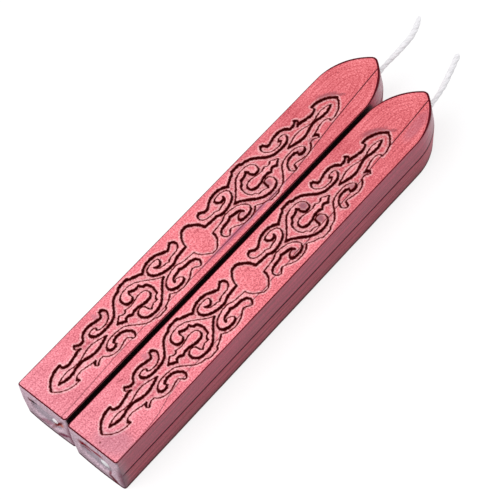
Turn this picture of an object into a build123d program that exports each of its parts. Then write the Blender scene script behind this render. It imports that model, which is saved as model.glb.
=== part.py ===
"""Pair of cast sealing wax sticks with cotton wicks, lying side by side on a table, in millimetres.

X runs across the pair, Y along the sticks towards their noses and Z up from the table.
The origin is on the table, under the middle of the two wax bars. Each stick is built with the middle of its
bar on the Z axis, and then moved to its place.
"""
import os
from math import pi, radians, sqrt, tan

from build123d import *

os.makedirs("parts", exist_ok=True)

# Wax bar
stick_length = 90.9  # butt to nose, without the wick
stick_width = 12.3  # across the parting line, where the two halves of the mould met
stick_height = 10.5
parting_height = 5.2  # parting line above the table
draft_inset = 0.4  # each side leans in this far from the parting line to the top and to the bottom
nose_length = 10.6  # from the shoulders to the blunt point of the nose
nose_radius = 1.2
edge_break = 0.1  # edges of the top and of the underside, blunted by the cast
butt_corner = 0.5  # radius of the upright corners of the butt
stick_gap = 0.1  # between the two sticks at their parting lines
stick_stagger = 0.4  # the left stick lies this much further along than the right one

# Hollow in the butt, where the wax shrank as it set in the mouth of the mould
hollow_width = 7.6
hollow_height = 5.4
hollow_middle = 4.7  # above the table
hollow_depth = 0.5
hollow_corner = 2.4
hollow_slope = 40.0  # degrees that its wall leans from the axis of the stick

# Wick, cast into the bar, with its cut end in the hollow and its free end past the nose
wick_diameter = 1.2
wick_fit = 0.02  # the wax closes on the wick to within this on the radius
wick_drift = 1.6  # the cut end lies this far right of the middle of the butt,
wick_drop = 0.6  # and this far below the parting line
wick_stub = 0.2  # the cut end stands this far proud of the floor of the hollow
wick_straight = 2.7  # how far past the nose the wick keeps its line
bend_share = 0.45  # share of its shorter run that each bend takes up
left_tail = ((0.75, 6.6, 1.7), (0.95, 10.0, 2.7), (-0.35, 13.0, 3.4))  # points of the free ends,
right_tail = ((-0.8, 7.2, 1.6), (-1.75, 11.1, 2.9))  # measured from the nose at the parting line

# Engraved ornament in the top face
engraving_depth = 0.4
facets_per_gap = 3  # straight cuts that each curve takes from one of its points to the next
butt_margin = 2.6  # from the butt to the near arrow point
nose_margin = 11.6  # from the far arrow point to the nose
side_margin = 0.92  # from the long edges of the top face to the knobs, the widest place

# Worked out from the sizes above
pitch = stick_width + stick_gap
butt = -stick_length / 2
nose = stick_length / 2
half_width = stick_width / 2
shoulder = nose - nose_length
# Each side runs on with no corner into an arc that the blunt point joins
nose_arc = ((nose_length - nose_radius) ** 2 + half_width**2 - nose_radius**2) / (
    2 * (half_width - nose_radius)
)
top_width = stick_width - 2 * draft_inset
ornament_length = stick_length - butt_margin - nose_margin
ornament_width = top_width - 2 * side_margin
ornament_middle = butt + butt_margin + ornament_length / 2

# The ornament is drawn as one quarter, on its own grid. A point is its distance from the middle of the
# ornament and its distance from the centreline.
grid_half_length = 37.25
grid_half_width = 4.7


def on_face(along, across):
    """Place of a grid point on the top face, from the middle of the ornament."""
    return (
        across * ornament_width / 2 / grid_half_width,
        along * ornament_length / 2 / grid_half_length,
    )


def straight(*points):
    """Corners joined by straight cuts."""
    Polyline(*[on_face(*point) for point in points])


def curved(*points):
    """Smooth curve through the points, carved as short straight cuts."""
    curve = Spline(*[on_face(*point) for point in points], mode=Mode.PRIVATE)
    cuts = facets_per_gap * (len(points) - 1)
    Polyline(*[curve @ (cut / cuts) for cut in range(cuts + 1)])


# Outline of the engraving, from the shield in the middle to the arrow point
outline = (
    (curved, (0, 3.65), (0.8, 3.5), (1.2, 3.1)),  # shield
    (curved, (1.2, 3.1), (2.2, 2), (2.5, 0.95)),
    (straight, (2.5, 0.95), (5.3, 0.7)),  # arm, which curls into the eye of the large scroll
    (curved, (5.3, 0.7), (6.2, 0.3), (8.2, 0.45), (10, 1.25), (10.55, 2.45), (9.1, 3.4), (7.25, 2.85),
     (8.2, 2), (9, 2.4)),
    (curved, (9, 2.4), (8.4, 1.6), (7.3, 1.4), (6.6, 1.15)),  # large scroll and its lobe
    (curved, (6.6, 1.15), (5.5, 1.6), (4.1, 1.7), (3, 2.75), (3.7, 3.65), (4.8, 2.95), (6.4, 3.6),
     (8.6, 4.15), (10.2, 3.85), (11.1, 3.2)),
    (curved, (11.1, 3.2), (12.2, 3.85), (13.3, 4.25)),  # frame round the heart, with a knob
    (straight, (13.3, 4.25), (13.7, 4.7), (15.7, 4.7), (16.2, 4.25)),
    (curved, (16.2, 4.25), (18.6, 3.2), (20.4, 1.4), (23.1, 0.9), (25.2, 1.5), (25.6, 2.3), (24.6, 2.7),
     (23.8, 2.5), (24, 1.9)),
    (curved, (24, 1.9), (22.9, 1.55), (20.6, 2.5), (20.4, 3.7), (21.2, 4.1), (21.6, 3.25), (22.6, 3.2),
     (24.6, 3.6), (26.3, 3.1), (26.9, 2.4)),  # small scroll and its lobe
    (curved, (26.9, 2.4), (27.5, 2.3), (28.6, 2.9)),  # barb
    (curved, (28.6, 2.9), (29, 2.6), (28.3, 1.8)),
    (curved, (28.3, 1.8), (31.4, 1.25), (32.5, 1.45), (32.9, 1.8)),  # arrow head
    (straight, (32.9, 1.8), (32.7, 2.3)),
    (curved, (32.7, 2.3), (35.6, 1.65), (37.25, 0)),
)
# Raised islands inside the outline, each drawn as half
heart = (
    (curved, (9.2, 0), (10.1, 0.5), (11.6, 1.8), (13.6, 3.3), (15.4, 3.55), (17.3, 2.7), (17.2, 1.35),
     (16, 1.1), (15.5, 1.6), (15.5, 2.2), (15.2, 2.7)),
    (curved, (15.2, 2.7), (14.4, 2.25), (13.3, 2.2)),
    (curved, (13.3, 2.2), (13, 1.6), (12.4, 1.35)),
    (curved, (12.4, 1.35), (12.1, 0.7), (12, 0)),
)
leaf = (
    (curved, (12.95, 0), (13.2, 0.6), (14.4, 1), (16.9, 0.55), (18.1, 0.85)),
    (curved, (18.1, 0.85), (18.8, 0.4), (19.6, 0.85)),
    (straight, (19.6, 0.85), (20.9, 0)),
)
spear = (
    (curved, (23.7, 0), (25, 0.42), (27.6, 0.75), (30, 0.15), (31.2, 0.18), (32.6, 0.5), (34, 0.45),
     (35.4, 0)),
)


def drawn(strokes, *corners):
    """Face inside the strokes, closed by straight lines through the corners."""
    first = strokes[0][1]
    last = strokes[-1][-1]
    with BuildSketch() as shape:
        with BuildLine():
            for draw, *points in strokes:
                draw(*points)
            straight(last, *corners, first)
        make_face()
    return shape.sketch


def ornament():
    """Engraved area of the top face: all inside the outline, apart from the islands."""
    with BuildSketch(Plane((0, ornament_middle, stick_height))) as engraving:
        add(drawn(outline, (0, 0)))
        for island in (heart, leaf, spear):
            add(drawn(island), mode=Mode.SUBTRACT)
        mirror(about=Plane.YZ)
        mirror(about=Plane.XZ)
    return engraving.sketch


def plan(height, inset):
    """Outline of a bar from above, at one height, drawn in from the parting line's outline."""
    side = half_width - inset
    point = shoulder + sqrt((nose_arc - inset) ** 2 - (nose_arc - half_width) ** 2)
    with BuildSketch(Plane((0, 0, height))) as section:
        with BuildLine():
            Polyline((-side, shoulder), (-side, butt), (side, butt), (side, shoulder))
            TangentArc((side, shoulder), (0, point), tangent=(0, 1))
            TangentArc((-side, shoulder), (0, point), tangent=(0, 1))
        make_face()
        fillet(section.vertices().sort_by(Axis.Y)[-1], nose_radius)
        fillet(section.vertices().sort_by(Axis.Y)[:2], butt_corner)
    return section.sketch


def wick_axis():
    """Line that the wax holds the wick on, from the butt to the nose."""
    start = Vector(wick_drift, butt, parting_height - wick_drop)
    return start, (Vector(0, nose, parting_height) - start).normalized()


def wax_bar():
    """Cast bar with drafted sides, ogive nose, engraved top, hollow butt and the wick's bore."""
    start, along = wick_axis()
    with BuildPart() as bar:
        loft(
            sections=[
                plan(0, draft_inset),
                plan(parting_height, 0),
                plan(stick_height, draft_inset),
            ],
            ruled=True,
        )
        levels = bar.faces().filter_by(Axis.Z).sort_by(Axis.Z)
        chamfer(levels[0].edges() + levels[-1].edges(), edge_break)
        with BuildSketch(Plane((0, butt, hollow_middle), x_dir=(1, 0, 0), z_dir=(0, 1, 0))):
            RectangleRounded(hollow_width, hollow_height, hollow_corner)
        extrude(amount=hollow_depth, taper=hollow_slope, mode=Mode.SUBTRACT)
        with BuildSketch(Plane(start, z_dir=along)):
            Circle(wick_diameter / 2 + wick_fit)
        extrude(amount=stick_length + wick_diameter, both=True, mode=Mode.SUBTRACT)
        extrude(ornament(), amount=-engraving_depth, mode=Mode.SUBTRACT)
    return bar.part


def wick(tail):
    """Cotton wick, straight in the wax and bent past the nose, as a tube with round bends."""
    start, along = wick_axis()
    exit_point = Vector(0, nose, parting_height)
    route = [
        start + along * (hollow_depth - wick_stub),
        exit_point + along * wick_straight,
        *[exit_point + Vector(*step) for step in tail],
    ]
    radii = []
    for before, corner, after in zip(route, route[1:], route[2:]):
        turn = (corner - before).get_angle(after - corner)
        shorter = min((corner - before).length, (after - corner).length)
        radii.append(bend_share * shorter / tan(radians(turn / 2)))
    with BuildPart() as tube:
        with BuildLine() as line:
            FilletPolyline(*route, radius=radii)
        with BuildSketch(Plane(route[0], z_dir=along)):
            Circle(wick_diameter / 2)
        sweep()
    length = sum(edge.length for edge in line.edges())
    filled = tube.part.volume / (pi * wick_diameter**2 / 4 * length)
    bends = [round(radius, 1) for radius in radii]
    print(f"wick: length {length:.1f}, bend radii {bends}, volume share {filled:.4f}")
    return tube.part


bar = wax_bar()
for side, across, along, tail in (
    ("left", -pitch / 2, stick_stagger / 2, left_tail),
    ("right", pitch / 2, -stick_stagger / 2, right_tail),
):
    for name, shape in ((f"{side}_wax_bar", bar), (f"{side}_wick", wick(tail))):
        placed = shape.moved(Pos(across, along))
        placed.label = name
        export_step(placed, f"parts/{name}.step")
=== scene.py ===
import math

import bpy
import numpy as np
from mathutils import Euler, Matrix, Vector, kdtree


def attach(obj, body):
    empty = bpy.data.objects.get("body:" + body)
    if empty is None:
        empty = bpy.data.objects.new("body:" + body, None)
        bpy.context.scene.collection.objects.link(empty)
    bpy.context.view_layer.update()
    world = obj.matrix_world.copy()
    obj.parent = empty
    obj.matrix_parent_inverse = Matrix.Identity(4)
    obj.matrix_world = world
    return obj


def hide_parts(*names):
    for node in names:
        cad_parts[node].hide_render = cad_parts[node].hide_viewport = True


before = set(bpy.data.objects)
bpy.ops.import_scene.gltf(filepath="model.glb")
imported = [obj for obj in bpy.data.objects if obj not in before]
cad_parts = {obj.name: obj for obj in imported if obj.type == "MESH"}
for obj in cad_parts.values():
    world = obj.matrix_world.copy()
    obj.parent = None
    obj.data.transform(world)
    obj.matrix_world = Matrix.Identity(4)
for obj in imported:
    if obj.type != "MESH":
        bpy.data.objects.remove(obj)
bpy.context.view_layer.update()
mm = 0.001
print("frame loaded:", sorted(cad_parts))


# Shared steps

smooth = {"interpolation_type": "SMOOTHSTEP"}  # a Map Range with eased ends
ofColours = {"data_type": "RGBA"}  # a Mix of the colours at 6 and 7, by the share at 0, into output 2
# A Mix with no such setting mixes the numbers at 2 and 3, by the share at 0, into output 0


def linear(hexColour):  # sRGB hex to the linear colour that a shader takes
    channels = [int(hexColour[i:i + 2], 16) / 255 for i in (1, 3, 5)]
    return [c / 12.92 if c <= 0.04045 else ((c + 0.055) / 1.055) ** 2.4 for c in channels] + [1]


def addNode(tree, kind, inputs, **settings):  # an input is a value, or the socket that feeds it
    node = tree.nodes.new("ShaderNode" + kind)
    for name, value in settings.items():
        setattr(node, name, value)
    for name, value in inputs.items():
        if isinstance(value, bpy.types.NodeSocket):
            tree.links.new(value, node.inputs[name])
        else:
            node.inputs[name].default_value = value
    return node


def newMaterial(name):
    material = bpy.data.materials.new(name)
    material.use_nodes = True
    material.node_tree.nodes.clear()
    return material, material.node_tree


def selectOnly(piece):
    bpy.ops.object.select_all(action="DESELECT")
    piece.select_set(True)
    bpy.context.view_layer.objects.active = piece


def applyModifier(piece, kind, **settings):
    selectOnly(piece)
    modifier = piece.modifiers.new(kind.title(), kind)
    for name, value in settings.items():
        setattr(modifier, name, value)
    bpy.ops.object.modifier_apply(modifier=modifier.name)


def points(piece):  # vertex places of a piece, in mm
    places = np.empty(len(piece.data.vertices) * 3, np.float32)
    piece.data.vertices.foreach_get("co", places)
    return places.reshape(-1, 3) / mm


def addGroup(piece, name, weights, steps=20):  # vertex group, with its weights rounded to even steps
    group = piece.vertex_groups.new(name=name)
    levels = np.round(np.clip(weights, 0, 1) * steps).astype(int)
    for level in range(1, steps + 1):
        group.add(np.nonzero(levels == level)[0].tolist(), level / steps, "REPLACE")
    return group.name


def addAttribute(piece, name, values):
    attribute = piece.data.attributes.new(name, "FLOAT", "POINT")
    attribute.data.foreach_set("value", np.asarray(values, np.float32))


# Camera, at the photograph's place

cameraSetup = {
    "place": (143.2, -114.55, 309.6),  # mm
    "azimuth": 50.97,  # degrees, as are the next two
    "elevation": 58.80,
    "roll": -11.55,
    "lens": 142.8,  # mm
    "nearest": 10,  # mm
}


def addCamera():
    turn = Euler((math.radians(90 - cameraSetup["elevation"]), 0, math.radians(cameraSetup["azimuth"])))
    roll = Matrix.Rotation(math.radians(cameraSetup["roll"]), 4, "Z")
    bpy.ops.object.camera_add()
    camera = bpy.context.object
    place = Matrix.Translation(Vector(cameraSetup["place"]) * mm)
    camera.matrix_world = place @ turn.to_matrix().to_4x4() @ roll
    camera.data.lens = cameraSetup["lens"]
    camera.data.clip_start = cameraSetup["nearest"] * mm
    bpy.context.scene.camera = camera


addCamera()
print("camera placed")


# Wicks, the cords that leave the noses

wickSetup = {  # sizes in mm
    "diameter": 1.2,
    "lengths": {"left": 104.4, "right": 102.3},
    "routes": {  # the points that the solid follows, with one more on the straight run near its end
        "left": [(-4.605, -44.95, 4.6), (-6.17, 43.95, 5.19), (-6.248, 48.35, 5.22), (-5.45, 52.25, 6.9),
                 (-5.25, 55.65, 7.9), (-6.55, 58.65, 8.6)],
        "right": [(7.795, -45.35, 4.6), (6.23, 43.55, 5.19), (6.152, 47.95, 5.22), (5.4, 52.45, 6.8),
                  (4.45, 56.35, 8.1)],
    },
    "routeCuts": 24,  # straight cuts that the curve of a route takes from point to point
    "step": 0.12,  # between rings
    "plies": 3,
    "sides": 12,
    "plyRadius": 0.44,
    "plyOffset": 0.15,  # from the wick's middle to a ply's middle
    "lay": 4.4,  # length of one whole turn of the twist
    "wobble": 0.05,  # uneven spinning, as a share of a ply's radius,
    "wobbleStep": 0.7,  # from one drawn thickness to the next,
    "wobbleOver": 2,  # drawn this far past the end
    "seeds": {"left": 7, "right": 11},
    "slim": [(90.8, 1), (92.2, 0.68), (96.5, 1)],  # distance along and thickness, where the wax drew it tight
    "tipLength": {"left": 2.2, "right": 0.8},  # run over which the free end closes,
    "tipRadius": 0.08,  # to this share of a ply's radius
    "tipOffset": 0.4,  # and to this share of its offset
    "fray": 0.25,  # run over which the cut end in the butt is spread,
    "spread": {"left": 0.1, "right": 0.6},  # and how much wider it gets
    "tones": [(0.28, "#A9A7AC"), (0.55, "#CDCCCF")],  # between the fibres and on them
    "fibre": 0.14,  # width of a bundle, because a single fibre is too fine to show
    "fibreStretch": 0.12,  # its width as a share of its length
    "fibreGirth": 0.34,  # what one unit of aroundPly measures
    "fibreDepth": 0.04,
    "fibreRelief": 0.3,
    "roughness": 0.9,
    "glow": 0.37,  # painted glow that lightens the wick's shaded side, though the wick is no lamp
    # colour of the painted glow
    "light": "#F5F4F6",
}


def readRoute(side):  # points along the smooth line of the route, in mm, evenly spaced
    curve = bpy.data.curves.new(side + "_route", "CURVE")
    curve.dimensions = "3D"
    spline = curve.splines.new("NURBS")
    route = wickSetup["routes"][side]
    spline.points.add(len(route) - 1)
    for point, place in zip(spline.points, route):
        point.co = [c * mm for c in place] + [1]
    spline.order_u = 3
    spline.use_endpoint_u = True
    spline.resolution_u = wickSetup["routeCuts"]
    holder = bpy.data.objects.new(side + "_route", curve)
    mesh = bpy.data.meshes.new_from_object(holder)
    line = np.array([vertex.co for vertex in mesh.vertices]) / mm
    bpy.data.objects.remove(holder)
    bpy.data.curves.remove(curve)
    bpy.data.meshes.remove(mesh)
    along = np.concatenate([[0], np.cumsum(np.linalg.norm(np.diff(line, axis=0), axis=1))])
    at = np.linspace(0, along[-1], int(along[-1] / wickSetup["step"]))
    return at, np.stack([np.interp(at, along, line[:, k]) for k in range(3)], 1)


def crossAxes(line):  # two directions square to the line at each point, carried along it without turning
    run = np.gradient(line, axis=0)
    run /= np.linalg.norm(run, axis=1)[:, None]
    first = np.cross(run[0], (0, 0, 1))
    axes = []
    for forward in run:
        first = first - forward * first.dot(forward)
        first /= np.linalg.norm(first)
        axes.append((first, np.cross(forward, first)))
    return np.array(axes)


def twistPly(side, at, line, axes, turn, dice):  # rings of one ply, wound round the route
    length = at[-1]
    angle = 2 * math.pi * (at / wickSetup["lay"] + turn)
    draws = np.arange(0, length + wickSetup["wobbleOver"], wickSetup["wobbleStep"])
    thickness = 1 + wickSetup["wobble"] * np.interp(at, draws, dice.normal(0, 1, len(draws)))
    thickness = thickness * np.interp(at, *zip(*wickSetup["slim"]))
    left = np.clip((length - at) / wickSetup["tipLength"][side], 0, 1)
    closing = np.sqrt(1 - (1 - left) ** 2) * (1 - wickSetup["tipRadius"]) + wickSetup["tipRadius"]
    gathered = wickSetup["tipOffset"] + (1 - wickSetup["tipOffset"]) * left
    spread = 1 + wickSetup["spread"][side] * np.clip(1 - at / wickSetup["fray"], 0, 1)
    offset = wickSetup["plyOffset"] * gathered * spread ** 2
    outward = axes[:, 0] * np.cos(angle)[:, None] + axes[:, 1] * np.sin(angle)[:, None]
    middle = line + outward * offset[:, None]
    roundPly = np.linspace(0, 2 * math.pi, wickSetup["sides"], endpoint=False)
    rings = []
    for k in range(len(at)):
        turned = roundPly + angle[k]
        ring = np.cos(turned)[:, None] * axes[k, 0] + np.sin(turned)[:, None] * axes[k, 1]
        rings.append(middle[k] + ring * wickSetup["plyRadius"] * thickness[k] * closing[k] * spread[k])
    return np.array(rings)


def modelWick(side):
    at, line = readRoute(side)
    axes = crossAxes(line)
    dice = np.random.default_rng(wickSetup["seeds"][side])
    sides = wickSetup["sides"]
    plies = wickSetup["plies"]
    places, faces, around, along = [], [], [], []
    for ply in range(plies):
        rings = twistPly(side, at, line, axes, ply / plies, dice)
        first = len(places)
        last = first + (len(rings) - 1) * sides
        # aroundPly runs on from ply to ply, so that no two have the same fibres
        for ring, distance in zip(rings, at):
            places += [tuple(place * mm) for place in ring]
            around += [math.sin(2 * math.pi * j / sides) + 2 * ply for j in range(sides)]
            along += [distance] * sides
        for start in range(first, last, sides):
            for j in range(sides):
                a = start + j
                b = start + (j + 1) % sides
                faces.append((a, b, b + sides, a + sides))
        faces.append(tuple(range(first + sides - 1, first - 1, -1)))
        faces.append(tuple(range(last, last + sides)))
    mesh = bpy.data.meshes.new(side + "_cotton_wick")
    mesh.from_pydata(places, [], faces)
    wick = bpy.data.objects.new(side + "_cotton_wick", mesh)
    bpy.context.scene.collection.objects.link(wick)
    addAttribute(wick, "aroundPly", around)
    addAttribute(wick, "alongWick", along)
    selectOnly(wick)
    bpy.ops.object.mode_set(mode="EDIT")
    bpy.ops.mesh.select_all(action="SELECT")
    bpy.ops.mesh.normals_make_consistent(inside=False)
    bpy.ops.object.mode_set(mode="OBJECT")
    bpy.ops.object.shade_smooth()
    return wick, line


def cottonMaterial():  # bleached cotton yarn: matte and white, with faint lilac shade between the fibres and a painted glow
    material, tree = newMaterial("bleached cotton yarn")
    around = addNode(tree, "Attribute", {}, attribute_name="aroundPly").outputs["Fac"]
    along = addNode(tree, "Attribute", {}, attribute_name="alongWick").outputs["Fac"]
    wound = addNode(tree, "CombineXYZ", {"X": around, "Y": along}).outputs[0]
    fibre = wickSetup["fibre"]
    scale = (wickSetup["fibreGirth"] / fibre, wickSetup["fibreStretch"] / fibre, 1)
    laid = addNode(tree, "VectorMath", {0: wound, 1: scale}, operation="MULTIPLY").outputs[0]
    fibres = addNode(tree, "TexNoise", {"Vector": laid, "Scale": 1.0, "Detail": 3}).outputs["Fac"]
    tone = addNode(tree, "ValToRGB", {"Fac": fibres})
    for element, (place, colour) in zip(tone.color_ramp.elements, wickSetup["tones"]):
        element.position = place
        element.color = linear(colour)
    bump = addNode(tree, "Bump", {
        "Height": fibres,
        "Strength": wickSetup["fibreRelief"],
        "Distance": wickSetup["fibreDepth"] * mm,
    })
    shader = addNode(tree, "BsdfPrincipled", {
        "Base Color": tone.outputs["Color"],
        "Roughness": wickSetup["roughness"],
        # painted glow, standing in for light on the wick's shaded side
        "Emission Color": linear(wickSetup["light"]),
        "Emission Strength": wickSetup["glow"],
        "Normal": bump.outputs["Normal"],
    })
    addNode(tree, "OutputMaterial", {"Surface": shader.outputs["BSDF"]})
    return material


cotton = cottonMaterial()
for side in ("left", "right"):
    wick, line = modelWick(side)
    wick.data.materials.append(cotton)
    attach(wick, side + "_stick")
    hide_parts(side + "_wick")
    print(side, "wick twisted:", len(wick.data.polygons), "faces")


# Wax bars

barSetup = {  # sizes in mm
    "middles": {"left": (-6.2, 0.2, 0), "right": (6.2, -0.2, 0)},  # of each bar, on the table
    "top": 10.5,
    "parting": 5.2,
    "butt": -45.45,  # this and the next two are distances along from a bar's own middle
    "shoulder": 34.85,
    "nose": 45.4,
    "halfWidth": 6.15,
    "noseArc": 12.6,  # radius of the nose's sides
    "engraving": 0.4,
    "merge": 0.001,
    "slack": 0.02,  # within this of a height is at that height
    "wallTilt": 0.2,  # an engraved wall faces up less than this,
    "topTilt": 0.9,  # and the top face more than this, with the rim between
    "lineStep": 0.04,  # between the points of a line
    "topDepth": 0.65,  # how far down the softened engraving goes
    "voxel": 0.11,
    "softening": 4,  # rounds of smoothing,
    "softShare": 0.5,  # each this strong
    "triangles": 190000,
    "keepBand": 0.45,  # beside walls, rim and crease, where no vertex is taken out
    "far": 9,  # stands for the distance where there is no line near
    "creases": {  # flow crease of the cast, as distance along and across
        "left": [(-42.1, 4.7), (-29.8, 4.1), (-9.3, 4.3), (16.4, 4.3), (28.7, 3.0), (36.9, 2.35),
                 (44.1, 1.85)],
        "right": [(-38, 5.55), (-33.9, 5.05), (-29.8, 4.0), (-24.7, 3.5), (-6.2, 3.3), (6.1, 3.0),
                  (16.4, 2.75), (26.7, 2.35), (36.9, 1.85), (43.9, 1.4)],
    },
    "creaseDepth": 0.06,
    "creaseWidth": 0.14,
    "swelling": 0.2,  # of the butt's lower half, towards its bottom,
    "swellReach": 4,  # and how far along the bar it fades out
    "waveDepth": 0.05,
    "waveLength": 7,
}


def edgeLines(bar):  # search trees of points in plan, along the engraved walls and the rim of the top face
    places = points(bar)
    top = barSetup["top"]
    slack = barSetup["slack"]
    lines = {"walls": [], "rim": []}
    for face in bar.data.polygons:
        corners = list(face.vertices)
        heights = places[corners, 2]
        if heights.max() < top - slack or heights.min() < top - barSetup["engraving"] - slack:
            continue
        if abs(face.normal.z) < barSetup["wallTilt"]:
            kind = "walls"
        elif face.normal.z < barSetup["topTilt"]:
            kind = "rim"
        else:
            continue
        for a, b in zip(corners, corners[1:] + corners[:1]):
            if min(places[a, 2], places[b, 2]) > top - slack:
                run = places[b] - places[a]
                count = int(np.linalg.norm(run) / barSetup["lineStep"]) + 2
                lines[kind] += [places[a] + run * share for share in np.linspace(0, 1, count)]
    trees = {}
    for kind, line in lines.items():
        trees[kind] = kdtree.KDTree(len(line))
        for index, place in enumerate(line):
            trees[kind].insert((place[0], place[1], 0), index)
        trees[kind].balance()
    return trees


def lineGaps(side, bar, trees):  # distance of each vertex of the top from the walls, the rim and the crease
    places = points(bar)
    onTop = places[:, 2] > barSetup["top"] - barSetup["topDepth"]
    gaps = {kind: np.full(len(places), barSetup["far"], np.float32) for kind in trees}
    for index in np.nonzero(onTop)[0]:
        spot = (places[index, 0], places[index, 1], 0)
        for kind in trees:
            gaps[kind][index] = trees[kind].find(spot)[2]
    own = places - np.array(barSetup["middles"][side])
    along, across = np.array(barSetup["creases"][side]).T
    gaps["crease"] = np.where(onTop, own[:, 0] - np.interp(own[:, 1], along, across), barSetup["far"])
    return gaps


def modelBar(side):
    bar = bpy.data.objects.new(side + "_cast_bar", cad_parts[side + "_wax_bar"].data.copy())
    bpy.context.scene.collection.objects.link(bar)
    bar.data.materials.clear()
    selectOnly(bar)
    bpy.ops.object.mode_set(mode="EDIT")
    bpy.ops.mesh.select_all(action="SELECT")
    bpy.ops.mesh.remove_doubles(threshold=barSetup["merge"] * mm)
    bpy.ops.object.mode_set(mode="OBJECT")
    trees = edgeLines(bar)
    applyModifier(bar, "REMESH", mode="VOXEL", voxel_size=barSetup["voxel"] * mm)
    applyModifier(bar, "SMOOTH", factor=barSetup["softShare"], iterations=barSetup["softening"])

    # flow crease, swollen butt and casting waves
    gaps = lineGaps(side, bar, trees)
    crease = addGroup(bar, "crease", np.exp(-(gaps["crease"] / barSetup["creaseWidth"]) ** 2))
    depth = barSetup["creaseDepth"] * mm
    applyModifier(bar, "DISPLACE", strength=-depth, mid_level=0, vertex_group=crease)
    own = points(bar) - np.array(barSetup["middles"][side])
    midway = 1 - (own[:, 0] / barSetup["halfWidth"]) ** 2
    lower = np.clip(1 - own[:, 2] / barSetup["parting"], 0, 1)
    nearButt = np.clip((barSetup["butt"] - own[:, 1]) / barSetup["swellReach"] + 1, 0, 1)
    swollen = addGroup(bar, "swollen", midway * lower * nearButt)
    swelling = barSetup["swelling"] * mm
    applyModifier(bar, "DISPLACE", direction="Y", strength=-swelling, mid_level=0, vertex_group=swollen)
    waves = bpy.data.textures.new("casting waves", "CLOUDS")
    waves.noise_scale = barSetup["waveLength"] * mm
    applyModifier(bar, "DISPLACE", texture=waves, texture_coords="LOCAL",
                  strength=barSetup["waveDepth"] * mm, mid_level=0.5)

    # fewer triangles away from the lines
    near = np.minimum(np.minimum(gaps["walls"], gaps["rim"]), np.abs(gaps["crease"]))
    spare = addGroup(bar, "spare", near > barSetup["keepBand"])
    have = sum(len(face.vertices) - 2 for face in bar.data.polygons)
    if have > barSetup["triangles"]:
        applyModifier(bar, "DECIMATE", ratio=barSetup["triangles"] / have, vertex_group=spare)
    bar.vertex_groups.clear()
    for kind, gap in lineGaps(side, bar, trees).items():
        addAttribute(bar, kind + "Gap", gap)
    selectOnly(bar)
    bpy.ops.object.shade_smooth()
    return bar


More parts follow.
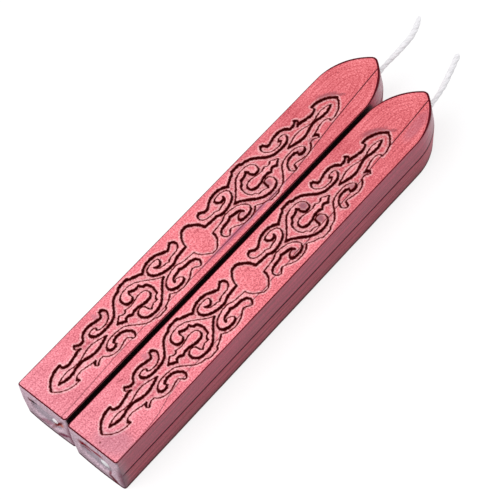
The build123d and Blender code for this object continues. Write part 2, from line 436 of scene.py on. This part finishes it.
waxSetup = {  # sizes in mm
    "pearl": [  # top face, from the butt to the nose
        (0, "#E78694"), (0.17, "#EE818E"), (0.31, "#F68490"), (0.45, "#F07D87"), (0.63, "#E67882"),
        (0.79, "#DE6A73"), (0.96, "#E87178"),
    ],
    "colours": {
        "upperSide": "#B83456",
        "lowerSide": "#C65165",
        # painted reflection, pale grey, on the nose's sides
        "noseSideReflection": "#BDA2AA",
        "buttSide": "#A87A8A",  # of a side, where it meets the butt
        # parting line, faint line, and painted shade at the foot of a side
        "sideLine": "#2E060C",
        # pale lilac, partly the butt's own colour and partly painted sheen
        "butt": "#DDC0CE",
        "hollow": "#C0AEBB",
        "footShade": "#4A1024",  # painted shade along the bottom edge of the butt
        # painted shade in the engraved grooves, darkest on their walls
        "wall": "#3C0305",
        "grooveShadeFringe": "#8C0A14",  # painted shade beside the dark of a wall,
        "paintedEdgeHighlight": "#FFD4D6",  # and a painted highlight further off
        "rim": "#5A101C",
        "crease": "#4A1420",
        "pit": "#8C2A38",
    },
    "grain": 0.3,  # of the pigment, drawn coarser than the real one so that it shows
    "cloud": 6,
    "cloudShare": 0.15,
    "streakWidth": 0.34,
    "streakLength": 12,
    "sideStreaks": 0.5,  # share of the streaks in the pattern on the sides
    "pitSpacing": 1.7,
    "grooveShadeBand": 0.17,  # painted shade either side of an engraved wall
    "wallRough": 0.4,  # how far its edge wanders
    "wallKnots": 0.55,  # from one bulge of it to the next
    "sideLines": [  # height, half width and share of the parting line, a faint line and painted shade at the foot of a side
        (5.8, 0.18, 1.0),
        (3.6, 0.09, 0.5),
        (0.15, 0.75, 0.75),
    ],
    "sideLineEdge": (0.05, -0.04),  # where its edge starts and ends, from the half width
    "gapShadeReach": 1.2,  # how near the other bar must be for painted shade on a side
    "topFrom": 9.6,  # height above which a face that looks up is the top
    "buttDepth": 0.9,  # a face that looks back this near the butt is part of it
    "raggedSize": 0.8,  # of the waves in a stain's outline,
    "raggedReach": 0.7,  # and how far they go
    "roughness": 0.4,
    "gloss": {"upper": 0.9, "lower": 0.3, "top": 0.35, "butt": 0.0, "line": 0.02},
    "relief": 0.5,
    "reliefDepth": 0.03,
    "steps": {  # eased changes
        # over how far a face looks up, and how far it looks ahead
        "up": {"From Min": 0.3, "From Max": 0.6},
        "back": {"From Min": -0.3, "From Max": -0.5},
        "ahead": {"From Min": 0.1, "From Max": 0.6, "To Max": 0.85},
        # over height
        "low": {"From Min": 6.0, "From Max": 5.6},
        "nearTop": {"From Min": 7.6, "From Max": 8.8},
        "footShade": {"From Min": 1.15, "From Max": 0.6, "To Max": 0.85},
        # over distance from the butt
        "nearButt": {"From Min": 2.6, "From Max": 0, "To Max": 0.6},
        "inHollow": {"From Min": 0.08, "From Max": 0.45},
        "buttRim": {"From Min": 0.9, "From Max": 0.5, "To Max": 0.17},  # width of the rim's band
        # over distance past the shoulder, and over share of the length
        "noseRim": {"From Max": 6.0, "To Min": 0.09, "To Max": 0.34},  # width of the rim's band
        "streaked": {"From Min": 0.5, "From Max": 0.85, "To Min": 0.18, "To Max": 0.3},
        # over distance from a line, or from the edge of its band
        "edgeHighlight": {"From Min": 0.66, "From Max": 0.36, "To Max": 0.7},
        "grooveShadeFringe": {"From Min": 0.16, "From Max": 0.01, "To Max": 0.88},
        "wall": {"From Min": 0.02, "From Max": -0.03},
        "rim": {"From Min": 0.04, "From Max": -0.04},
        "fold": {"From Min": 0.16, "From Max": 0.05},
        # over distance from the middle, in units of the pits' spacing or of a patch's half lengths
        "pits": {"From Min": 0.1, "From Max": 0.04, "To Max": 0.7},
        "stainAndShade": {"From Min": 1.15, "From Max": 0.5},
        # over the share of the view that nothing near blocks, for the painted shade in the gap
        "open": {"From Min": 0.72, "From Max": 0.98},
    },
    "ramps": {  # even changes
        # over a pattern
        "streaks": {"From Min": 0.3, "From Max": 0.7, "To Min": 0.24, "To Max": 0.76},
        "light": {"From Min": 0.3, "From Max": 0.7, "To Min": 0.4, "To Max": 1.6},
        "richness": {"From Min": 0.3, "From Max": 0.7, "To Min": 1.18, "To Max": 0.82},
        "sideLight": {"From Min": 0.3, "From Max": 0.7, "To Min": 0.54, "To Max": 1.46},
        "broken": {"From Min": 0.42, "From Max": 0.6, "To Min": 0.35},
        "mottle": {"From Min": 0.36, "From Max": 0.46, "To Min": 0.2},
        # over share of the length
        "beforeTip": {"From Min": 0.97, "From Max": 0.9, "To Min": 0.35},
        "folded": {"To Min": 0.45, "To Max": 1.0},
        # over height
        # painted shade, darker towards the bottom
        "sideFootShade": {"From Min": 0.2, "From Max": 2.6, "To Min": 0.62},
        "buttFootShade": {"From Min": 0.3, "From Max": 4.0, "To Min": 0.62},
        # over how far a point belongs to the lower side
        "aheadLow": {"To Min": 0.9, "To Max": 0.35},
    },
    "stainsAndShade": {  # middle from the bar's own middle, half lengths, turn about the face, colour and share
        "left": [
            ((4.4, 3, 10.4), (0.6, 13, 1), 0, "#96587A", 0.6),  # lilac band beside the shield
            ((-1.65, 32.9, 10.4), (0.75, 2.5, 1), -33, "#8A4452", 0.65),  # darker patches along the far arrow head
            ((0.1, 34.6, 10.4), (0.4, 1.1, 1), -50, "#7A3442", 0.6),
            ((2.15, 11.9, 10.2), (1.1, 0.9, 1), 0, "#8E5A68", 0.65),  # scroll floors
            ((2.45, 4.2, 10.2), (1.0, 0.8, 1), 0, "#A06874", 0.5),
            ((2.35, 20.5, 10.2), (1.1, 0.7, 1), 0, "#96606C", 0.65),
            ((2.4, 23.8, 10.2), (0.8, 0.8, 1), 0, "#8A4A58", 0.6),
            ((-3.9, -27.5, 10.5), (0.9, 0.7, 1), 0, "#B87080", 0.6),  # dull patch beside the near scrolls
            ((-3.5, -45.2, 7.2), (0.7, 1.5, 0.8), 0, "#6A0814", 1.0),  # red wax showing in the butt
            ((-2.4, -45.2, 7.4), (1.2, 1.5, 0.6), -8, "#20080E", 1.0),
            ((-1.2, -45.2, 1.9), (2.4, 1.5, 0.45), -14, "#7A2848", 0.65),
            ((2.9, -45.2, 5.2), (0.85, 1.5, 3.5), 36, "#DE7860", 0.9),
            ((2.75, -45.2, 5.2), (0.5, 1.5, 4.8), 30, "#700610", 1.0),
            ((3.7, -45.2, 2.4), (2.6, 1.5, 0.6), -40, "#7A1440", 0.9),
            ((6.6, -45.4, 4.2), (2.0, 1.2, 5.2), 0, "#8E5468", 0.9),  # painted shade towards the rounded corner, in the side's colour
        ],
        "right": [
            ((-2.0, 32.3, 10.4), (0.95, 3.0, 1), -33, "#8A4452", 0.65),  # darker patches along the far arrow head
            ((0.3, 34.5, 10.4), (0.4, 1.2, 1), -50, "#7A3442", 0.6),
            ((-2.2, 12.4, 10.2), (1.1, 1.0, 1), 0, "#7E5260", 0.8),  # scroll floors
            ((1.9, 12.3, 10.2), (1.0, 1.0, 1), 0, "#7E5260", 0.75),
            ((2.35, 4.4, 10.2), (1.0, 0.8, 1), 0, "#96606C", 0.6),
            ((2.0, 20.8, 10.2), (1.1, 0.8, 1), 0, "#96606C", 0.65),
            ((2.35, 24.6, 10.2), (0.8, 0.8, 1), 0, "#8A4A58", 0.6),
            ((3.2, 38, 10.5), (1.3, 4.6, 1), 6, "#B4687A", 0.5),  # greyer strip beside the crease
            ((-3.9, -27.3, 10.5), (1.0, 0.8, 1), 0, "#B87080", 0.6),  # dull patches, the larger near the butt
            ((2.6, -42.6, 10.5), (4.2, 3.0, 1), 20, "#B48092", 0.42),
            ((0.9, -44.2, 10.5), (0.28, 0.2, 1), 30, "#6A1520", 0.9),  # pits
            ((-4.4, -33.4, 10.5), (0.16, 0.8, 1), -12, "#9A3040", 0.8),
            ((-2.0, -45.2, 7.3), (2.3, 1.5, 1.6), -6, "#880418", 1.0),  # red wax showing in the butt
            ((0.6, -45.2, 7.6), (1.7, 1.5, 1.1), -16, "#A0142C", 1.0),
            ((-2.6, -45.2, 4.5), (1.1, 1.5, 0.5), 10, "#A02C48", 0.8),
            ((3.4, -45.2, 1.6), (1.8, 1.5, 0.75), 51, "#6A0C20", 0.95),
            ((6.6, -45.4, 4.2), (2.0, 1.2, 5.2), 0, "#8E5A6A", 0.9),  # painted shade towards the rounded corner, in the side's colour
        ],
    },
}
tints = {name: linear(colour) for name, colour in waxSetup["colours"].items()}
waxSteps = waxSetup["steps"]
waxRamps = waxSetup["ramps"]


# The sockets that several parts of the wax use are kept by name in one dictionary

def waxPlaces(tree, side):  # where on its own bar a point is, how its face looks and how far the lines are
    coords = addNode(tree, "TexCoord", {}).outputs
    inMm = addNode(tree, "VectorMath", {0: coords["Object"], "Scale": 1 / mm}, operation="SCALE").outputs[0]
    middle = barSetup["middles"][side]
    own = addNode(tree, "VectorMath", {0: inMm, 1: middle}, operation="SUBTRACT").outputs[0]
    spot = addNode(tree, "SeparateXYZ", {0: own}).outputs
    facing = addNode(tree, "SeparateXYZ", {0: coords["Normal"]}).outputs
    wax = {"own": own, "x": spot["X"], "y": spot["Y"], "z": spot["Z"]}
    wax["looksAhead"] = facing["Y"]
    wax["looksUp"] = facing["Z"]
    ends = {"From Min": barSetup["butt"], "From Max": barSetup["nose"]}
    wax["length"] = addNode(tree, "MapRange", {"Value": wax["y"], **ends}).outputs[0]
    for name, start in (("fromButt", barSetup["butt"]), ("past", barSetup["shoulder"])):
        wax[name] = addNode(tree, "Math", {0: wax["y"], 1: start}, operation="SUBTRACT").outputs[0]
    for name in ("wallsGap", "rimGap", "creaseGap"):
        wax[name] = addNode(tree, "Attribute", {}, attribute_name=name).outputs["Fac"]
    return wax


def waxFaces(tree, wax):  # how far a point belongs to the top, the butt, the lower side or the nose's sides
    up = addNode(tree, "MapRange", {"Value": wax["looksUp"], **waxSteps["up"]}, **smooth).outputs[0]
    high = addNode(tree, "Math", {0: wax["z"], 1: waxSetup["topFrom"]}, operation="GREATER_THAN").outputs[0]
    wax["up"] = addNode(tree, "Math", {0: up, 1: high}, operation="MULTIPLY").outputs[0]
    back = addNode(tree, "MapRange", {"Value": wax["looksAhead"], **waxSteps["back"]}, **smooth).outputs[0]
    depth = waxSetup["buttDepth"]
    atButt = addNode(tree, "Math", {0: wax["fromButt"], 1: depth}, operation="LESS_THAN").outputs[0]
    wax["back"] = addNode(tree, "Math", {0: back, 1: atButt}, operation="MULTIPLY").outputs[0]
    wax["low"] = addNode(tree, "MapRange", {"Value": wax["z"], **waxSteps["low"]}, **smooth).outputs[0]
    ahead = addNode(tree, "MapRange", {"Value": wax["looksAhead"], **waxSteps["ahead"]}, **smooth)
    wax["ahead"] = ahead.outputs[0]


def waxPatterns(tree, wax):  # grain, clouds and flow streaks, which run along the bar and bend round its nose
    own = wax["own"]
    fine = {"Vector": own, "Scale": 1 / waxSetup["grain"], "Detail": 4, "Roughness": 0.6}
    grain = addNode(tree, "TexNoise", fine).outputs["Fac"]
    coarse = {"Vector": own, "Scale": 1 / waxSetup["cloud"], "Detail": 2}
    cloud = addNode(tree, "TexNoise", coarse).outputs["Fac"]
    aside = addNode(tree, "Math", {0: wax["x"]}, operation="ABSOLUTE").outputs[0]
    arcMiddle = barSetup["noseArc"] - barSetup["halfWidth"]
    fromArc = addNode(tree, "Math", {0: aside, 1: arcMiddle}, operation="ADD").outputs[0]
    inNose = addNode(tree, "Math", {0: wax["past"], 1: 0.0}, operation="MAXIMUM").outputs[0]
    arcPlace = addNode(tree, "CombineXYZ", {"X": fromArc, "Y": inNose}).outputs[0]
    reach = addNode(tree, "VectorMath", {0: arcPlace}, operation="LENGTH").outputs["Value"]
    flow = addNode(tree, "CombineXYZ", {"X": reach, "Y": wax["y"], "Z": wax["z"]}).outputs[0]
    across = 1 / waxSetup["streakWidth"]
    scale = (across, 1 / waxSetup["streakLength"], across)
    drawn = addNode(tree, "VectorMath", {0: flow, 1: scale}, operation="MULTIPLY").outputs[0]
    streaks = addNode(tree, "TexNoise", {"Vector": drawn, "Scale": 1.0, "Detail": 3}).outputs["Fac"]
    streaks = addNode(tree, "MapRange", {"Value": streaks, **waxRamps["streaks"]}).outputs[0]
    length = wax["length"]
    streaked = addNode(tree, "MapRange", {"Value": length, **waxSteps["streaked"]}, **smooth).outputs[0]
    beforeTip = addNode(tree, "MapRange", {"Value": length, **waxRamps["beforeTip"]}).outputs[0]
    streaked = addNode(tree, "Math", {0: streaked, 1: beforeTip}, operation="MULTIPLY").outputs[0]
    mixed = addNode(tree, "Mix", {0: streaked, 2: grain, 3: streaks}).outputs[0]
    mixed = addNode(tree, "Mix", {0: waxSetup["cloudShare"], 2: mixed, 3: cloud}).outputs[0]
    onSides = addNode(tree, "Mix", {0: waxSetup["sideStreaks"], 2: grain, 3: streaks}).outputs[0]
    wax["grain"] = grain
    for name, pattern in (("light", mixed), ("richness", mixed), ("sideLight", onSides)):
        wax[name] = addNode(tree, "MapRange", {"Value": pattern, **waxRamps[name]}).outputs[0]


def topColour(tree, wax):  # pink with painted sheen in part, painted highlights along the engraving, and pits
    pearl = addNode(tree, "ValToRGB", {"Fac": wax["length"]})
    elements = pearl.color_ramp.elements
    for place, colour in waxSetup["pearl"][1:-1]:
        elements.new(place)
    for element, (place, colour) in zip(elements, waxSetup["pearl"]):
        element.position = place
        element.color = linear(colour)
    shaded = {"Color": pearl.outputs["Color"], "Saturation": wax["richness"], "Value": wax["light"]}
    top = addNode(tree, "HueSaturation", shaded).outputs[0]
    # painted highlight beside the engraving, broken by the grain
    edgeHighlight = addNode(tree, "MapRange", {"Value": wax["wallsGap"], **waxSteps["edgeHighlight"]}, **smooth).outputs[0]
    broken = addNode(tree, "MapRange", {"Value": wax["grain"], **waxRamps["broken"]}).outputs[0]
    edgeHighlight = addNode(tree, "Math", {0: edgeHighlight, 1: broken}, operation="MULTIPLY").outputs[0]
    top = addNode(tree, "Mix", {0: edgeHighlight, 6: top, 7: tints["paintedEdgeHighlight"]}, **ofColours).outputs[2]
    cells = addNode(tree, "TexVoronoi", {"Vector": wax["own"], "Scale": 1 / waxSetup["pitSpacing"]})
    fromPit = cells.outputs["Distance"]
    pits = addNode(tree, "MapRange", {"Value": fromPit, **waxSteps["pits"]}, **smooth).outputs[0]
    return addNode(tree, "Mix", {0: pits, 6: top, 7: tints["pit"]}, **ofColours).outputs[2]


def sideColour(tree, wax):  # deep red, redder below the parting line, with painted reflection greying the nose's sides, and painted shade in the gap and towards the foot
    ends = {6: tints["upperSide"], 7: tints["lowerSide"]}
    flank = addNode(tree, "Mix", {0: wax["low"], **ends}, **ofColours).outputs[2]
    # painted reflection greys the sides of the nose, less below the parting line
    aheadLow = addNode(tree, "MapRange", {"Value": wax["low"], **waxRamps["aheadLow"]}).outputs[0]
    ahead = addNode(tree, "Math", {0: wax["ahead"], 1: aheadLow}, operation="MULTIPLY").outputs[0]
    flank = addNode(tree, "Mix", {0: ahead, 6: flank, 7: tints["noseSideReflection"]}, **ofColours).outputs[2]
    near = addNode(tree, "MapRange", {"Value": wax["fromButt"], **waxSteps["nearButt"]}, **smooth).outputs[0]
    flank = addNode(tree, "Mix", {0: near, 6: flank, 7: tints["buttSide"]}, **ofColours).outputs[2]
    # painted shade, darker towards the foot
    footShade = addNode(tree, "MapRange", {"Value": wax["z"], **waxRamps["sideFootShade"]}).outputs[0]
    # painted shade in the gap between the sticks, on the upper part of a side
    view = addNode(tree, "AmbientOcclusion", {"Distance": waxSetup["gapShadeReach"] * mm}, samples=8).outputs["AO"]
    gapShade = addNode(tree, "MapRange", {"Value": view, **waxSteps["open"]}, **smooth).outputs[0]
    nearTop = addNode(tree, "MapRange", {"Value": wax["z"], **waxSteps["nearTop"]}, **smooth).outputs[0]
    gapShade = addNode(tree, "Mix", {0: nearTop, 2: 1.0, 3: gapShade}).outputs[0]
    light = wax["sideLight"]
    for share in (footShade, gapShade):
        light = addNode(tree, "Math", {0: light, 1: share}, operation="MULTIPLY").outputs[0]
    flank = addNode(tree, "HueSaturation", {"Color": flank, "Value": light}).outputs[0]
    lines = 0.0
    for height, half, share in waxSetup["sideLines"]:
        away = addNode(tree, "Math", {0: wax["z"], 1: height}, operation="SUBTRACT").outputs[0]
        away = addNode(tree, "Math", {0: away}, operation="ABSOLUTE").outputs[0]
        start, end = [half + edge for edge in waxSetup["sideLineEdge"]]
        edges = {"From Min": start, "From Max": end, "To Max": share}
        line = addNode(tree, "MapRange", {"Value": away, **edges}, **smooth).outputs[0]
        lines = addNode(tree, "Math", {0: line, 1: lines}, operation="MAXIMUM").outputs[0]
    wax["sideLines"] = addNode(tree, "Mix", {0: wax["back"], 2: lines, 3: 0.0}).outputs[0]
    return addNode(tree, "Mix", {0: lines, 6: flank, 7: tints["sideLine"]}, **ofColours).outputs[2]


def buttColour(tree, wax):  # dull, pale lilac, partly its own colour and partly painted sheen; greyer in the hollow
    deep = addNode(tree, "MapRange", {"Value": wax["fromButt"], **waxSteps["inHollow"]}, **smooth).outputs[0]
    butt = addNode(tree, "Mix", {0: deep, 6: tints["butt"], 7: tints["hollow"]}, **ofColours).outputs[2]
    # painted shade, darker towards the bottom of the butt
    lower = addNode(tree, "MapRange", {"Value": wax["z"], **waxRamps["buttFootShade"]}).outputs[0]
    light = addNode(tree, "Math", {0: wax["light"], 1: lower}, operation="MULTIPLY").outputs[0]
    butt = addNode(tree, "HueSaturation", {"Color": butt, "Value": light}).outputs[0]
    # painted shade along the bottom edge
    footShade = addNode(tree, "MapRange", {"Value": wax["z"], **waxSteps["footShade"]}, **smooth).outputs[0]
    return addNode(tree, "Mix", {0: footShade, 6: butt, 7: tints["footShade"]}, **ofColours).outputs[2]


def addStainsAndShade(tree, wax, side, colour):  # stains, and painted shade at the butt's corners, with ragged outlines
    waves = {"Vector": wax["own"], "Scale": 1 / waxSetup["raggedSize"], "Detail": 3}
    ragged = addNode(tree, "TexNoise", waves).outputs["Color"]
    reach = waxSetup["raggedReach"]
    moved = {0: ragged, 1: (reach, reach, reach), 2: wax["own"]}
    ragged = addNode(tree, "VectorMath", moved, operation="MULTIPLY_ADD").outputs[0]
    mottle = addNode(tree, "MapRange", {"Value": wax["grain"], **waxRamps["mottle"]}).outputs[0]
    for place, half, turn, tint, share in waxSetup["stainsAndShade"][side]:
        onButt = place[1] < barSetup["butt"] + waxSetup["buttDepth"]
        spin = (0, math.radians(turn), 0) if onButt else (0, 0, math.radians(turn))
        shifted = [c + reach / 2 for c in place]  # the noise moves a place by this much on the mean
        ellipse = {"Vector": ragged, "Location": shifted, "Rotation": spin, "Scale": half}
        inside = addNode(tree, "Mapping", ellipse, vector_type="TEXTURE").outputs[0]
        away = addNode(tree, "VectorMath", {0: inside}, operation="LENGTH").outputs["Value"]
        fade = {**waxSteps["stainAndShade"], "To Max": share}
        stainAndShade = addNode(tree, "MapRange", {"Value": away, **fade}, **smooth).outputs[0]
        stainAndShade = addNode(tree, "Math", {0: stainAndShade, 1: mottle}, operation="MULTIPLY").outputs[0]
        colour = addNode(tree, "Mix", {0: stainAndShade, 6: colour, 7: linear(tint)}, **ofColours).outputs[2]
    return colour


def addLines(tree, wax, colour):  # flow crease, rim of the top face, and painted shade of the engraved walls
    away = addNode(tree, "Math", {0: wax["creaseGap"]}, operation="ABSOLUTE").outputs[0]
    fold = addNode(tree, "MapRange", {"Value": away, **waxSteps["fold"]}, **smooth).outputs[0]
    folded = addNode(tree, "MapRange", {"Value": wax["length"], **waxRamps["folded"]}).outputs[0]
    wax["fold"] = addNode(tree, "Math", {0: fold, 1: folded}, operation="MULTIPLY").outputs[0]
    colour = addNode(tree, "Mix", {0: wax["fold"], 6: colour, 7: tints["crease"]}, **ofColours).outputs[2]

    band = addNode(tree, "MapRange", {"Value": wax["past"], **waxSteps["noseRim"]}, **smooth).outputs[0]
    atButt = addNode(tree, "MapRange", {"Value": wax["fromButt"], **waxSteps["buttRim"]}, **smooth).outputs[0]
    band = addNode(tree, "Math", {0: band, 1: atButt}, operation="MAXIMUM").outputs[0]
    away = addNode(tree, "Math", {0: wax["rimGap"], 1: band}, operation="SUBTRACT").outputs[0]
    rim = addNode(tree, "MapRange", {"Value": away, **waxSteps["rim"]}, **smooth).outputs[0]
    shown = addNode(tree, "Math", {0: wax["up"], 1: wax["ahead"]}, operation="MAXIMUM").outputs[0]
    wax["rim"] = addNode(tree, "Math", {0: rim, 1: shown}, operation="MULTIPLY").outputs[0]
    colour = addNode(tree, "Mix", {0: wax["rim"], 6: colour, 7: tints["rim"]}, **ofColours).outputs[2]

    bulges = {"Vector": wax["own"], "Scale": 1 / waxSetup["wallKnots"], "Detail": 2}
    knots = addNode(tree, "TexNoise", bulges).outputs["Fac"]
    wandering = {0: knots, 1: waxSetup["wallRough"], 2: wax["wallsGap"]}
    away = addNode(tree, "Math", wandering, operation="MULTIPLY_ADD").outputs[0]
    edge = waxSetup["grooveShadeBand"] + waxSetup["wallRough"] / 2
    away = addNode(tree, "Math", {0: away, 1: edge}, operation="SUBTRACT").outputs[0]
    # painted shade along the engraved walls, paler at its fringe
    for line in ("grooveShadeFringe", "wall"):
        wax[line] = addNode(tree, "MapRange", {"Value": away, **waxSteps[line]}, **smooth).outputs[0]
        colour = addNode(tree, "Mix", {0: wax[line], 6: colour, 7: tints[line]}, **ofColours).outputs[2]
    return colour


def waxGloss(tree, wax):  # by face, and almost none on the lines
    levels = waxSetup["gloss"]
    gloss = levels["upper"]
    for face, level in (("low", "lower"), ("up", "top"), ("back", "butt")):
        gloss = addNode(tree, "Mix", {0: wax[face], 2: gloss, 3: levels[level]}).outputs[0]
    for line in ("sideLines", "fold", "rim", "wall"):
        gloss = addNode(tree, "Mix", {0: wax[line], 2: gloss, 3: levels["line"]}).outputs[0]
    return gloss


def waxMaterial(side):  # resin wax with pearl pigment: pink top, partly painted sheen, glassy deep red sides, dull butt
    material, tree = newMaterial("pearl sealing wax, " + side + " stick")
    wax = waxPlaces(tree, side)
    waxFaces(tree, wax)
    waxPatterns(tree, wax)
    # the top's pink is partly the wax's own colour and partly painted sheen of light from above, chosen by
    # which way a face looks
    faces = {6: sideColour(tree, wax), 7: topColour(tree, wax)}
    colour = addNode(tree, "Mix", {0: wax["up"], **faces}, **ofColours).outputs[2]
    butt = buttColour(tree, wax)
    colour = addNode(tree, "Mix", {0: wax["back"], 6: colour, 7: butt}, **ofColours).outputs[2]
    colour = addStainsAndShade(tree, wax, side, colour)
    colour = addLines(tree, wax, colour)
    bump = addNode(tree, "Bump", {
        "Height": wax["grain"],
        "Strength": waxSetup["relief"],
        "Distance": waxSetup["reliefDepth"] * mm,
    })
    shader = addNode(tree, "BsdfPrincipled", {
        "Base Color": colour,
        "Roughness": waxSetup["roughness"],
        "Specular IOR Level": waxGloss(tree, wax),
        "Normal": bump.outputs["Normal"],
    })
    addNode(tree, "OutputMaterial", {"Surface": shader.outputs["BSDF"]})
    return material


for side in ("left", "right"):
    bar = modelBar(side)
    bar.data.materials.append(waxMaterial(side))
    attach(bar, side + "_stick")
    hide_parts(side + "_wax_bar")
    print(side, "bar cast:", len(bar.data.polygons), "faces")


# Floor and light

studio = {
    "floorSize": 6,  # m
    "floorDrop": 0.02,  # mm below the undersides
    "floorColour": "#8C8B8C",
    "floorMirrored": "#FFFFFF",  # its colour as the wax mirrors it
    "floorGlow": 0.8,  # what the camera adds to reach white where nothing shades it
    "worldColour": "#FFFFFF",
    "worldLight": 0.38,
    "worldSeen": 1.0,  # as the camera and the wax see it
    "lamps": [  # place in m, width and height in m, power in W
        ((-0.12, -0.28, 0.45), 0.5, 0.5, 2.6),
        ((0.06, 0.59, 0.1), 0.5, 0.14, 1.9),  # behind and low, for the nose walls
    ],
}


def addFloor():
    bpy.ops.object.select_all(action="DESELECT")
    place = (0, 0, -studio["floorDrop"] * mm)
    bpy.ops.mesh.primitive_plane_add(size=studio["floorSize"], location=place)
    floor = bpy.context.object
    floor.name = "floor"
    bpy.ops.object.transform_apply(location=True, rotation=True, scale=True)
    material, tree = newMaterial("white paper ground")  # white to the camera, grey where a stick shades it
    rays = addNode(tree, "LightPath", {}).outputs
    straight = {0: rays["Is Camera Ray"], 1: rays["Is Transmission Ray"]}
    seen = addNode(tree, "Math", straight, operation="MAXIMUM").outputs[0]
    glow = addNode(tree, "Math", {0: seen, 1: studio["floorGlow"]}, operation="MULTIPLY").outputs[0]
    ends = {6: linear(studio["floorColour"]), 7: linear(studio["floorMirrored"])}
    paper = addNode(tree, "Mix", {0: rays["Is Glossy Ray"], **ends}, **ofColours).outputs[2]
    matte = addNode(tree, "BsdfDiffuse", {"Color": paper}).outputs[0]
    light = addNode(tree, "Emission", {"Strength": glow}).outputs[0]
    both = addNode(tree, "AddShader", {0: matte, 1: light}).outputs[0]
    addNode(tree, "OutputMaterial", {"Surface": both})
    floor.data.materials.append(material)


def addWorld():
    world = bpy.data.worlds.new("studio")
    bpy.context.scene.world = world
    world.use_nodes = True
    tree = world.node_tree
    tree.nodes.clear()
    rays = addNode(tree, "LightPath", {}).outputs
    seen = rays["Is Camera Ray"]
    for kind in ("Is Glossy Ray", "Is Transmission Ray"):
        seen = addNode(tree, "Math", {0: seen, 1: rays[kind]}, operation="MAXIMUM").outputs[0]
    levels = {"To Min": studio["worldLight"], "To Max": studio["worldSeen"]}
    strength = addNode(tree, "MapRange", {"Value": seen, **levels}).outputs[0]
    sky = addNode(tree, "Background", {"Color": linear(studio["worldColour"]), "Strength": strength})
    addNode(tree, "OutputWorld", {"Surface": sky.outputs[0]})


def addLamps():
    for place, width, height, power in studio["lamps"]:
        bpy.ops.object.light_add(type="AREA", location=place)
        lamp = bpy.context.object
        lamp.data.shape = "RECTANGLE"
        lamp.data.size = width
        lamp.data.size_y = height
        lamp.data.energy = power
        lamp.rotation_euler = (-Vector(place)).to_track_quat("-Z", "Y").to_euler()


addFloor()
addWorld()
addLamps()
bpy.context.scene.view_settings.view_transform = "Standard"
print("floor and light set")
